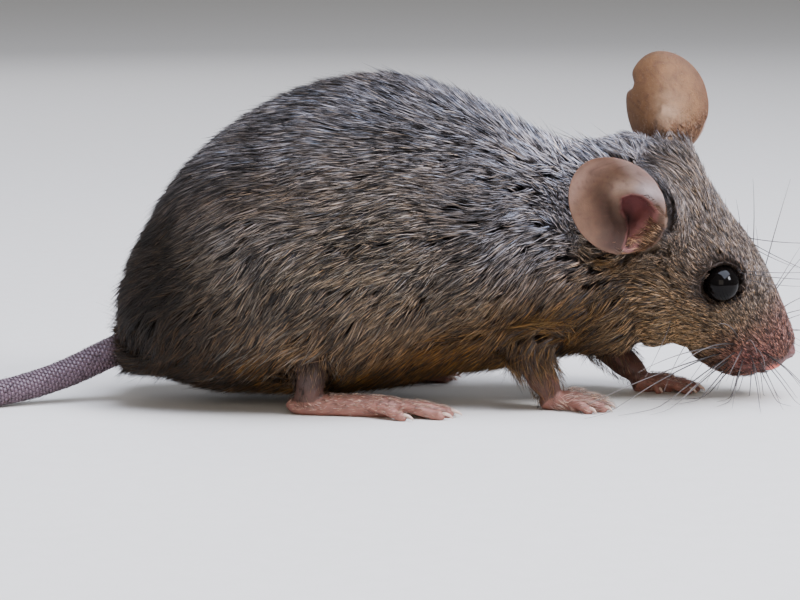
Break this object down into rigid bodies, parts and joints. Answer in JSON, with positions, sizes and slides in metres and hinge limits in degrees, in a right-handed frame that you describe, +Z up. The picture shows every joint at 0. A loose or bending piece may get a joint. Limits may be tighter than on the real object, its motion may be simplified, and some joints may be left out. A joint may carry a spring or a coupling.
{
  "type": "house mouse",
  "caption": "Life-size house mouse standing still, hunched, with the head lowered, ears raised and the long tail laid out behind.",
  "frame": {"origin": "middle of the whole mouse's footprint, on the floor it stands on", "axes": "+X towards the nose, +Y to the mouse's left, +Z up"},
  "size_m": [0.1462, 0.0322, 0.0393],
  "materials": {
    "back_coat": "short soft fur, dark grey-brown ticked with buff, cooler and darker along the back",
    "face_coat": "very short close fur, greyish buff-brown",
    "belly_coat": "short soft fur, warm buff-brown, fading to skin at the wrists",
    "bare_skin": "thinly haired pink skin of feet and nose, slightly moist",
    "ear_skin": "thin tan skin with fine down, pink-brown inside",
    "tail_skin": "finely ringed scaly skin, pinkish lilac grey",
    "eye_black": "wet glossy black"
  },
  "bodies": {
    "root": {"trunk": "back_coat", "neck": "back_coat", "head": "face_coat", "lower_jaw": "face_coat", "nose": "bare_skin", "ear_left": "ear_skin", "ear_right": "ear_skin", "eye_left": "eye_black", "eye_right": "eye_black", "upper_arm_left": "back_coat", "forearm_left": "belly_coat", "fore_foot_left": "bare_skin", "upper_arm_right": "back_coat", "forearm_right": "belly_coat", "fore_foot_right": "bare_skin", "haunch_left": "back_coat", "shank_left": "bare_skin", "hind_foot_left": "bare_skin", "haunch_right": "back_coat", "shank_right": "bare_skin", "hind_foot_right": "bare_skin", "tail_1": "tail_skin", "tail_2": "tail_skin", "tail_3": "tail_skin", "tail_4": "tail_skin"}
  },
  "joints": []
}
